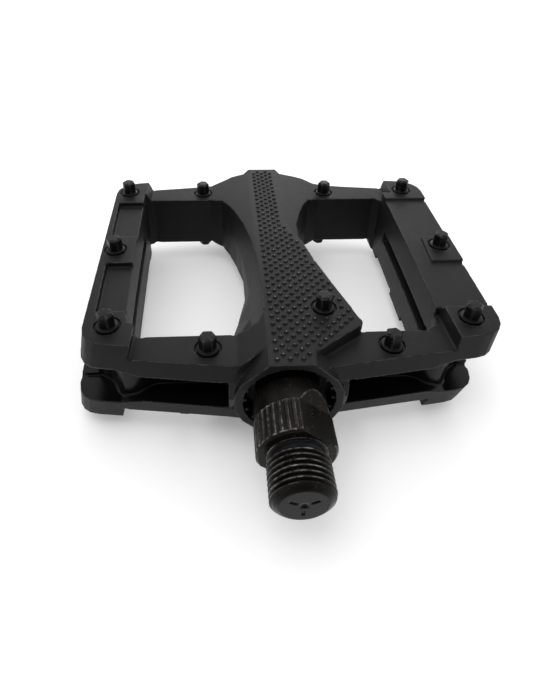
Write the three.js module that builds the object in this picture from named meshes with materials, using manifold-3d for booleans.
// Flat bicycle pedal: a moulded platform that spins on a steel spindle.
// Millimetres. +Y runs along the spindle from its threaded tip outwards, +Z is up, +X is across.
// The origin is the centre of the spindle's flat tip. The pedal looks the same after half a turn
// about the spindle, so every feature of the upper face has a twin on the lower face.
import * as THREE from 'three';
import { mergeVertices } from 'three/addons/utils/BufferGeometryUtils.js';
import Module from 'manifold-3d';

const wasm = await Module();
wasm.setup();

// ---- driving dimensions -------------------------------------------------------------------
// Spindle
const threadRadius = 7.14;         // 9/16 inch pedal thread
const threadPitch = 1.27;
const threadDepth = 0.7;
const threadCrests = 7;
const crestWidth = 0.4;
const crestToRoot = 0.85;          // from the near edge of a crest to the root behind it
const threadRunOut = 0.75;         // from the last crest to the neck
const tipFaceRadius = 5.3;
const tipChamfer = 1.1;
const reliefRadius = 6.35;
const reliefFlare = 0.5;           // cone from the neck to the shoulder
const collarChamfer = 0.6;
const shoulderY = 11.2;            // face that seats against the crank arm
const collarRadius = 9.25;
const collarEnd = 19.8;
const acrossFlats = 15;
const flatAngle = THREE.MathUtils.degToRad(51);
const rampEnd = 23.4;              // the flats run out to the collar's surface here
const ribCount = 34;                // evenly spaced grooves between the ribs
const firstGroove = THREE.MathUtils.degToRad(120);
const ribDepth = 0.45;
const journalRadius = 8.9;         // smooth part behind the ribs
const journalEnd = 26.2;
const sealRadius = 7.6;            // spindle radius under the dust seal
const innerSeat = 7.2;             // spindle radius under the inboard bearing
const outerSeat = 4.2;             // spindle radius under the outboard bearing
const endThreadRadius = 3.9;       // carries the lock nut
const shaftRadii = [5.9, 4.9];     // the shaft tapers from the first to the second
const shaftY = [41.8, 98];
const shaftStepY = 105.4;
const spindleEnd = 120.2;

// Platform body
const mouthY = 26;                 // inboard end of the barrel
const barrelEnd = 131;             // outboard end of the barrel
const midY = 77.3;
const faceHeight = 12.8;           // treads, barrel strip and corner pads
const railHeight = 9.1;
const flangeInner = 4.4;           // the rails are hollow between their two flanges
const cornerInner = 5.9;
const sideLean = 0.183;            // the side rails lean, in millimetres across per millimetre up
const faceDraft = 0.0045;          // front and back faces draw in, per millimetre up
const stripHalf = 5.3;
const aboveFace = faceHeight + 2;  // where a tool that cuts into a face starts
const padGap = 0.3;                // clearance left between neighbouring pieces

// Bearings
const sealY = [31.3, 34.3];
const innerBearingY = [35, 42];
const outerBearingY = [106, 112];
const mouthRadius = 11.4;
const innerSeatRadius = 10.9;
const boreRadius = 6.5;
const outerSeatRadius = 8.6;
const capSeatRadius = 9.8;
const capSeatY = 124.5;
const cageWebHalf = 0.8;
const raceGap = 0.2;               // between a race and its seat, and round the balls
const roundSegments = 24;          // facets round a turned part

// Traction pins
const pinHeight = 4.3;
const pinAcrossFlats = 4;
const pinFlangeRadius = 2.8;
const pinRecessRadius = 3.5;
const pinRecessDepth = 0.7;
const pinShankRadius = 1.5;
const pinShankDepth = 3.2;
const pinSeatGap = 0.1;
const pins = [
  { name: 'near_left', x: -44.6, y: 41.0, z: faceHeight },
  { name: 'near_right', x: 48.1, y: 41.0, z: faceHeight },
  { name: 'mid_left', x: -48.1, y: 75.0, z: faceHeight },
  { name: 'mid_right', x: 52.0, y: 75.0, z: faceHeight },
  { name: 'far_left', x: -49.2, y: 112.2, z: faceHeight },
  { name: 'far_right', x: 51.0, y: 112.2, z: faceHeight },
  { name: 'near_rail_left', x: -19.7, y: 36.0, z: railHeight },
  { name: 'near_rail_right', x: 26.4, y: 35.5, z: railHeight },
  { name: 'far_rail_left', x: -23.0, y: 118.2, z: railHeight },
  { name: 'far_rail_right', x: 23.0, y: 118.2, z: railHeight },
  { name: 'wing', x: 10.5, y: 46.2, z: faceHeight },
];

// ---- materials ----------------------------------------------------------------------------
function finish(color, roughness, metalness) {
  return new THREE.MeshStandardMaterial({ color, roughness, metalness });
}
const nylon = finish(0x1b1b1c, 0.62, 0);
const blackSteel = finish(0x3a3936, 0.42, 0.85);
const pinSteel = finish(0x19191a, 0.45, 0.6);
const bearingSteel = finish(0x9a9c9e, 0.25, 0.95);
const rubber = finish(0x101011, 0.8, 0);

// ---- geometry helpers ---------------------------------------------------------------------
function closed(geometry) {
  const bare = geometry.clone();
  bare.deleteAttribute('normal');
  bare.deleteAttribute('uv');
  return mergeVertices(bare, 1e-4);
}

function signedVolume(geometry) {
  const p = geometry.attributes.position;
  const index = geometry.index.array;
  const [a, b, c] = [new THREE.Vector3(), new THREE.Vector3(), new THREE.Vector3()];
  let sum = 0;
  for (let i = 0; i < index.length; i += 3) {
    a.fromBufferAttribute(p, index[i]);
    b.fromBufferAttribute(p, index[i + 1]);
    c.fromBufferAttribute(p, index[i + 2]);
    sum += a.dot(b.cross(c));
  }
  return sum / 6;
}

// Turns a closed three.js geometry into a solid for joining and cutting.
function solid(geometry) {
  const merged = closed(geometry);
  const triVerts = new Uint32Array(merged.index.array);
  if (signedVolume(merged) < 0) {
    for (let i = 0; i < triVerts.length; i += 3) {
      [triVerts[i], triVerts[i + 1]] = [triVerts[i + 1], triVerts[i]];
    }
  }
  const vertProperties = new Float32Array(merged.attributes.position.array);
  return new wasm.Manifold(new wasm.Mesh({ numProp: 3, vertProperties, triVerts }));
}

function toMesh(name, shape, material) {
  const data = shape.getMesh();
  const geometry = new THREE.BufferGeometry();
  geometry.setAttribute('position', new THREE.BufferAttribute(data.vertProperties, 3));
  geometry.setIndex(new THREE.BufferAttribute(data.triVerts, 1));
  geometry.computeVertexNormals();
  const mesh = new THREE.Mesh(geometry, material);
  mesh.name = name;
  return mesh;
}

function cut(body, ...tools) {
  return tools.reduce((left, tool) => left.subtract(tool), body);
}

function join(...shapes) {
  return shapes.reduce((left, shape) => left.add(shape));
}

// The same feature on the lower face: half a turn about the spindle.
function twin(geometry) {
  return geometry.clone().rotateY(Math.PI);
}

function bothFaces(geometry) {
  return [solid(geometry), solid(twin(geometry))];
}

function shapeOf(points) {
  return new THREE.Shape(points.map(([x, y]) => new THREE.Vector2(x, y)));
}

// Plan outline pulled up from z0 to z1.
function plate(points, z0, z1) {
  const geometry = new THREE.ExtrudeGeometry(shapeOf(points), { depth: z1 - z0, bevelEnabled: false });
  return geometry.translate(0, 0, z0);
}

// Outline in x and z pulled along the spindle from y0 to y1.
function barAlongY(points, y0, y1) {
  const geometry = new THREE.ExtrudeGeometry(shapeOf(points), { depth: y1 - y0, bevelEnabled: false });
  return geometry.rotateX(Math.PI / 2).translate(0, y1, 0);
}

// A solid through several outlines with the same number of points, one at each height.
function loft(outlines, heights) {
  const steps = heights.length - 1;
  const geometry = new THREE.ExtrudeGeometry(shapeOf(outlines[0]), {
    depth: steps,
    steps,
    bevelEnabled: false,
  });
  const position = geometry.attributes.position;
  for (let i = 0; i < position.count; i += 1) {
    const layer = Math.round(position.getZ(i));
    const x = position.getX(i);
    const y = position.getY(i);
    const corner = outlines[0].findIndex(([px, py]) => Math.hypot(px - x, py - y) < 1e-4);
    const [nx, ny] = outlines[layer][corner];
    position.setXYZ(i, nx, ny, heights[layer]);
  }
  return geometry;
}

// A turned piece on the spindle's axis; the profile is a list of [radius, y].
function turned(profile, segments = roundSegments) {
  const points = profile.map(([r, y]) => new THREE.Vector2(r, y));
  return new THREE.LatheGeometry(points, segments);
}

function ring(inner, outer, y0, y1) {
  return turned([[inner, y0], [outer, y0], [outer, y1], [inner, y1], [inner, y0]]);
}

function rod(radius, y0, y1, segments = roundSegments) {
  return turned([[0, y0], [radius, y0], [radius, y1], [0, y1]], segments);
}

function mirrorX(points) {
  return points.map(([x, y]) => [-x, y]).reverse();
}

// ---- platform body ------------------------------------------------------------------------
// Half outline of the platform at mid height, from the barrel's mouth round to its far end.
function halfOutline() {
  const corner = new THREE.QuadraticBezierCurve(
    new THREE.Vector2(47, 31.8),
    new THREE.Vector2(52.3, 32.5),
    new THREE.Vector2(53, 38.5),
  );
  const farCorner = new THREE.QuadraticBezierCurve(
    new THREE.Vector2(56.1, 113.5),
    new THREE.Vector2(56.3, 120.6),
    new THREE.Vector2(49, 122.2),
  );
  const near = corner.getPoints(4).map((p) => [p.x, p.y]);
  const far = farCorner.getPoints(4).map((p) => [p.x, p.y]);
  return [
    [stripHalf, 31],
    [11, 28],
    [14, 27.3],
    ...near,
    ...far,
    [29, 124.8],
    [21.5, 126.2],
    [17.5, 128.3],
    [14, 130.5],
    [11, 130.9],
  ];
}

function platformBlock() {
  const right = halfOutline();
  const outline = [...right, ...mirrorX(right)];
  const heights = [-faceHeight, 0, faceHeight];
  const layers = heights.map((z) => outline.map(([x, y]) => [
    x + sideLean * z,
    midY + (y - midY) * (1 - faceDraft * Math.abs(z)),
  ]));
  return solid(loft(layers, heights));
}

function barrel() {
  const corner = [[stripHalf, faceHeight], [11.5, 6.7], [13.4, 2.9]];
  const right = [...corner, ...corner.map(([x, z]) => [x, -z]).reverse()];
  const section = [...right, ...right.map(([x, z]) => [-x, -z])];
  return solid(barAlongY(section, mouthY, barrelEnd));
}

// The window beside the barrel on the -X side. Its inner wall leans, because the barrel's strip is
// narrow on one face and carries a wing on the other.
function windowTool() {
  const outer = [
    [-20, 112.5],
    [-41.5, 112.5],
    [-43.6, 110.5],
    [-43.4, 101],
    [-42, 66],
    [-40.9, 46],
    [-39.9, 42.3],
    [-36.8, 40.4],
  ];
  const upper = [
    [-12.9, 40.4],
    [-9, 40.9],
    [-6.6, 42.4],
    [-stripHalf, 45.5],
    [-stripHalf, 57],
    [-5.6, 68],
    [-6.8, 80],
    [-8.6, 90],
    [-10.8, 98],
    [-13.2, 105],
    [-15.8, 110],
  ];
  const middle = [
    [-12.9, 40.6],
    [-10.3, 41.4],
    [-8.6, 43.3],
    [-7.9, 47],
    [-7.9, 57],
    [-7.9, 68],
    [-8.6, 80],
    [-9.8, 90],
    [-11.2, 98],
    [-13.2, 105],
    [-15.8, 110],
  ];
  const lower = [
    [-19.5, 40.4],
    [-19.4, 41.2],
    [-18.3, 44.6],
    [-17, 48.6],
    [-14.5, 57],
    [-11.4, 68],
    [-8.7, 80],
    [-8.8, 90],
    [-10.8, 98],
    [-13.2, 105],
    [-15.8, 110],
  ];
  const layers = [lower, lower, middle, upper, upper].map((inner) => [...inner, ...outer]);
  return loft(layers, [-faceHeight - 1, -faceHeight, 0, faceHeight, faceHeight + 1]);
}

const wingOutline = [
  [-stripHalf, 24],
  [5.8, 24],
  [6.2, 30.2],
  [18.7, 38.8],
  [19.5, 39.9],
  [19.5, 41],
  [11.4, 68],
  [8.7, 80],
  [stripHalf, 88],
  [-stripHalf, 88],
];

// Front part of the wing, which stands past the block beside the barrel's mouth.
function wingFront() {
  const front = wingOutline.slice(1, 6).map(([x, y]) => [x, Math.max(y, mouthY)]);
  return plate([...front, [16, 48], [4, 48], [4, mouthY]], railHeight - 1, faceHeight);
}

// Under the wing the rail runs straight on to the barrel's side.
function railRoot() {
  const top = [[7, 34], [9.4, 28.3], [15.7, 29.4], [15.7, 34]];
  const bottom = [[7, 34], [10.2, 27.3], [14.8, 28.3], [14.8, 34]];
  return loft([bottom, top], [flangeInner, railHeight]);
}

// Material taken off above the rails. The rails rise to the barrel's strip on a slope.
function railGap(end, slopeEnd, y0, y1, lean = sideLean) {
  const side = Math.sign(end);
  const section = [
    [side * slopeEnd, railHeight],
    [side * stripHalf, faceHeight],
    [side * stripHalf, aboveFace],
    [end + lean * aboveFace, aboveFace],
    [end + lean * railHeight, railHeight],
  ];
  return barAlongY(section, y0, y1);
}

// The wing on the strip stays whole where a gap would cross it.
function cutRailGaps(body) {
  const wings = bothFaces(plate(wingOutline, railHeight - 1, aboveFace + 1));
  const [nearSlopeLeft, nearSlopeRight, farSlope] = [12.5, 9.06, 20];
  const gaps = [
    railGap(-40.4, nearSlopeLeft, 20, 45.8),
    railGap(40.4, nearSlopeRight, 20, 45.8),
    railGap(-36, farSlope, 62, 140),
    railGap(36, farSlope, 62, 140),
    railGap(-38.6, farSlope, 110.4, 140, -2 * sideLean),
    railGap(44.2, farSlope, 110.4, 140),
  ];
  const tools = gaps.flatMap(bothFaces).map((gap) => cut(gap, ...wings));
  return cut(body, ...tools);
}

// Shallow trays in the top of the -X side rail, inside an outer rim.
function sideTrays() {
  const floor = 11.2;
  const near = [[-38, 46.5], [-38, 68], [-49.6, 68], [-48.4, 46.5]];
  const far = [[-38, 82.5], [-38, 104.3], [-51.7, 104.3], [-50.6, 82.5]];
  return [near, far].map((outline) => plate(outline, floor, aboveFace));
}

// The +X side rail's top is lower between its corner pads, round one middle pad.
function sideFloor() {
  const floor = 11.9;
  const pad = [[64, 66.2], [46.6, 66.2], [47.9, 80], [64, 80]];
  return plate([[38, 45.6], [64, 45.6], ...pad, [64, 105.4], [38, 105.4]], floor, aboveFace);
}

// The hollow of the near rail. A web bows forward beside the corner, and both flanges thin there.
function nearHollows() {
  const outline = [
    [14.8, 20],
    [64, 20],
    [64, 42],
    [48.5, 42],
    [45.5, 40],
    [44, 37.6],
    [42.8, 35.4],
    [41.2, 34.4],
    [38.8, 34.3],
    [37.2, 34.8],
    [34.8, 36.4],
    [33, 37],
    [16.5, 37],
    [14.8, 35.5],
  ];
  const [inboardX, thinFrom, thinTo] = [10, 36.5, 42.5];
  const clear = cornerInner + 2;
  const thicker = [
    [inboardX, flangeInner],
    [thinFrom, flangeInner],
    [thinTo, cornerInner],
    [thinTo, clear],
    [inboardX, clear],
  ];
  const fills = [thicker, thicker.map(([x, z]) => [x, -z]).reverse()];
  const hollow = cut(
    solid(plate(outline, -cornerInner, cornerInner)),
    ...fills.map((section) => solid(barAlongY(section, 19, 43))),
  );
  return [hollow, hollow.rotate([0, 180, 0])];
}

// The other outward-open hollows between the two flanges, for the +X half.
function flangeHollows() {
  const pocket = (points, half) => plate(points, -half, half);
  return [
    pocket([[49.6, 41], [64, 41], [64, 111], [51.5, 111]], flangeInner + 0.5),
    pocket([[51, 110], [64, 110], [64, 136], [45, 136], [45, 116]], cornerInner),
    pocket([[38, 119.5], [46, 119.5], [46, 136], [38, 136]], flangeInner),
    pocket([[21, 116.3], [38.5, 116.3], [38.5, 136], [21, 136]], flangeInner),
  ];
}

function innerGroove() {
  return plate([[38, 48], [43, 48], [45.6, 51], [46.6, 98], [44.5, 101], [38, 101]], -2.2, 2.2);
}

// Radial ribs that stand inside the mouth.
function mouthRibs() {
  const count = 20;
  const ribs = [];
  for (let i = 0; i < count; i += 1) {
    const rib = new THREE.BoxGeometry(1.3, 3.2, 0.9);
    rib.translate(mouthRadius - 0.35, mouthY + 2.4, 0);
    rib.rotateY((i / count) * Math.PI * 2);
    ribs.push(solid(rib));
  }
  return ribs;
}

function boreTools() {
  return [
    rod(mouthRadius, mouthY - 1, innerBearingY[0]),
    rod(innerSeatRadius, innerBearingY[0] - 1, innerBearingY[1] + 0.2),
    rod(boreRadius, innerBearingY[1], outerBearingY[0]),
    rod(outerSeatRadius, outerBearingY[0] - 0.2, capSeatY + 1),
    rod(capSeatRadius, capSeatY, barrelEnd + 1),
  ].map(solid);
}

// Recess and hole for one traction pin, in the pin's own frame with its seat at z = 0.
function pinSeat() {
  const floor = -pinRecessDepth;
  const bottom = floor - pinShankDepth - padGap;
  const holeRadius = pinShankRadius + padGap;
  const profile = [[0, bottom], [holeRadius, bottom], [holeRadius, floor], [pinRecessRadius, floor]];
  const closedTop = [[pinRecessRadius, 1], [0, 1]];
  return turned([...profile, ...closedTop], 14).rotateX(Math.PI / 2);
}

function platform() {
  let body = join(platformBlock(), barrel(), ...bothFaces(railRoot()));
  body = cut(body, ...bothFaces(windowTool()));
  body = join(cutRailGaps(body), ...bothFaces(wingFront()));
  const seats = pins.map((pin) => pinSeat().translate(pin.x, pin.y, pin.z));
  const hollows = [...sideTrays(), sideFloor(), ...flangeHollows(), innerGroove(), ...seats];
  body = cut(body, ...hollows.flatMap(bothFaces), ...nearHollows(), ...boreTools());
  return join(body, ...mouthRibs());
}

// ---- traction pins ------------------------------------------------------------------------
function tractionPin() {
  const seat = pinSeatGap - pinRecessDepth;
  const bottom = seat - pinShankDepth;
  const flangeTop = 0.25;
  const corner = pinAcrossFlats / Math.sqrt(3);
  const flange = turned([
    [0, bottom],
    [pinShankRadius, bottom],
    [pinShankRadius, seat],
    [pinFlangeRadius, seat],
    [pinFlangeRadius, flangeTop],
    [0, flangeTop],
  ], 10);
  const post = turned([
    [0, 0],
    [corner, 0],
    [corner, pinHeight - 0.7],
    [corner * 0.68, pinHeight],
    [0, pinHeight],
  ], 6);
  return join(solid(flange), solid(post));
}

function addPins(group) {
  const shape = tractionPin();
  for (const pin of pins) {
    const upper = toMesh(`pin_top_${pin.name}`, shape, pinSteel);
    upper.rotation.x = Math.PI / 2;
    upper.position.set(pin.x, pin.y, pin.z);
    const lower = toMesh(`pin_bottom_${pin.name}`, shape, pinSteel);
    lower.rotation.x = -Math.PI / 2;
    lower.position.set(-pin.x, pin.y, -pin.z);
    group.add(upper, lower);
  }
}

// ---- spindle ------------------------------------------------------------------------------
function spindleProfile() {
  const profile = [[0, 0], [tipFaceRadius, 0]];
  const root = threadRadius - threadDepth;
  for (let i = 0; i < threadCrests - 1; i += 1) {
    const y = tipChamfer + i * threadPitch;
    profile.push([threadRadius, y], [threadRadius, y + crestWidth], [root, y + crestToRoot]);
  }
  const lastCrest = tipChamfer + (threadCrests - 1) * threadPitch;
  profile.push(
    [threadRadius, lastCrest],
    [threadRadius, lastCrest + crestWidth],
    [reliefRadius, lastCrest + threadRunOut],
    [reliefRadius, shoulderY - reliefFlare],
    [reliefRadius + reliefFlare, shoulderY],
    [collarRadius - collarChamfer, shoulderY],
    [collarRadius, shoulderY + collarChamfer],
    [collarRadius, collarEnd],
    [journalRadius, collarEnd + 0.4],
    [journalRadius, journalEnd],
    [sealRadius + 0.6, journalEnd + 0.8],
    [sealRadius, journalEnd + 1.6],
    [sealRadius, sealY[1] + 0.1],
    [innerSeat, sealY[1] + 0.4],
    [innerSeat, innerBearingY[1] - 1],
    [shaftRadii[0], shaftY[0]],
    [shaftRadii[1], shaftY[1]],
    [shaftRadii[1], shaftStepY],
    [outerSeat, outerBearingY[0]],
    [outerSeat, outerBearingY[1] + 0.6],
    [endThreadRadius, outerBearingY[1] + 1],
    [endThreadRadius, spindleEnd - 0.6],
    [endThreadRadius - 0.6, spindleEnd],
    [0, spindleEnd],
  );
  return profile;
}

function serrations() {
  const grooves = [];
  for (let i = 0; i < ribCount; i += 1) {
    const angle = firstGroove + (i / ribCount) * Math.PI * 2;
    const groove = new THREE.BoxGeometry(2 * ribDepth, collarEnd - shoulderY - 0.4, 0.8);
    groove.translate(collarRadius, (collarEnd + shoulderY) / 2, 0);
    groove.rotateY(-angle);
    grooves.push(solid(groove));
  }
  return grooves;
}

// Each wrench flat ends in a ramp that rises to the collar's surface.
function wrenchFlats() {
  const distance = acrossFlats / 2;
  const flatEnd = collarEnd - 0.2;
  const clear = journalRadius + 1.5;
  const slope = (journalRadius - distance) / (rampEnd - flatEnd);
  const profile = [
    [distance, shoulderY - 0.6],
    [distance, flatEnd],
    [clear, flatEnd + (clear - distance) / slope],
    [clear, shoulderY - 0.6],
  ];
  const flat = plate(profile, -10, 10).rotateY(-flatAngle);
  return bothFaces(flat);
}

function spindle() {
  const body = solid(turned(spindleProfile()));
  return cut(body, ...serrations(), ...wrenchFlats());
}

// ---- bearings and small parts ---------------------------------------------------------------
// One bearing: inner race on the spindle, outer race in the barrel and a cage that holds balls.
function bearing([y0, y1], innerRadius, outerRadius, ballRadius) {
  const middle = (y0 + y1) / 2;
  const pitch = (innerRadius + outerRadius) / 2;
  const wall = ballRadius * 0.62;
  const grooveReach = ballRadius + raceGap;
  const half = Math.sqrt(grooveReach ** 2 - wall ** 2);
  const groove = (side) => [-half, -half * 0.45, half * 0.45, half].map((dy) => [
    pitch + side * Math.sqrt(grooveReach ** 2 - dy ** 2),
    middle + dy,
  ]);
  const inner = turned([
    [innerRadius, y0],
    [pitch - wall, y0],
    ...groove(-1),
    [pitch - wall, y1],
    [innerRadius, y1],
    [innerRadius, y0],
  ]);
  const outer = turned([
    [outerRadius, y0],
    [outerRadius, y1],
    [pitch + wall, y1],
    ...groove(1).reverse(),
    [pitch + wall, y0],
    [outerRadius, y0],
  ]);
  const balls = [];
  const count = Math.floor((2 * Math.PI * pitch) / (ballRadius * 2.7));
  for (let i = 0; i < count; i += 1) {
    const ball = new THREE.SphereGeometry(ballRadius, 6, 4);
    ball.translate(pitch, middle, 0).rotateY((i / count) * Math.PI * 2);
    balls.push(solid(ball));
  }
  const reach = wall - raceGap;
  const web = ring(pitch - reach, pitch + reach, middle - cageWebHalf, middle + cageWebHalf);
  return { inner: solid(inner), outer: solid(outer), cage: join(solid(web), ...balls) };
}

function lockNut(y0, y1) {
  const acrossNut = 11;
  const corner = acrossNut / Math.sqrt(3);
  const hole = rod(endThreadRadius + padGap, y0 - 1, y1 + 1);
  return cut(solid(rod(corner, y0, y1, 6)), solid(hole));
}

// Screw cap with a slot for a coin.
function endCap() {
  const y0 = capSeatY + 1.9;
  const y1 = barrelEnd - 0.4;
  const radius = capSeatRadius - padGap;
  const bevel = 0.6;
  const slotDepth = 1.6;
  const disc = turned([[0, y0], [radius, y0], [radius, y1 - bevel], [radius - bevel, y1], [0, y1]]);
  const slot = new THREE.BoxGeometry(13, 2 * slotDepth, 2.2).translate(0, y1, 0);
  return cut(solid(disc), solid(slot));
}

// ---- assembly -------------------------------------------------------------------------------
const pedal = new THREE.Group();
pedal.add(toMesh('platform', platform(), nylon));
addPins(pedal);
pedal.add(toMesh('spindle', spindle(), blackSteel));

const sealProfile = [
  [sealRadius + raceGap, sealY[0]],
  [mouthRadius - padGap, sealY[0]],
  [mouthRadius - padGap, sealY[1]],
  [sealRadius + 1.2, sealY[1]],
  [sealRadius + raceGap, sealY[0] + 1.2],
  [sealRadius + raceGap, sealY[0]],
];
pedal.add(toMesh('dust_seal', solid(turned(sealProfile)), rubber));

const inboard = bearing(innerBearingY, innerSeat + raceGap, innerSeatRadius - raceGap, 1.3);
pedal.add(toMesh('inboard_inner_race', inboard.inner, bearingSteel));
pedal.add(toMesh('inboard_outer_race', inboard.outer, bearingSteel));
pedal.add(toMesh('inboard_ball_cage', inboard.cage, bearingSteel));

const outboard = bearing(outerBearingY, outerSeat + raceGap, outerSeatRadius - raceGap, 1.5);
pedal.add(toMesh('outboard_inner_race', outboard.inner, bearingSteel));
pedal.add(toMesh('outboard_outer_race', outboard.outer, bearingSteel));
pedal.add(toMesh('outboard_ball_cage', outboard.cage, bearingSteel));

const washer = ring(endThreadRadius + padGap, 6.4, 113, 113.9);
pedal.add(toMesh('tab_washer', solid(washer), bearingSteel));
pedal.add(toMesh('lock_nut', lockNut(114.1, 118.6), blackSteel));
const oRingRadius = 0.7;
const oRing = new THREE.TorusGeometry(capSeatRadius - 1.2, oRingRadius, 8, roundSegments);
oRing.rotateX(Math.PI / 2).translate(0, capSeatY + 1, 0);
pedal.add(toMesh('cap_o_ring', solid(oRing), rubber));
pedal.add(toMesh('end_cap', endCap(), nylon));

export default pedal;
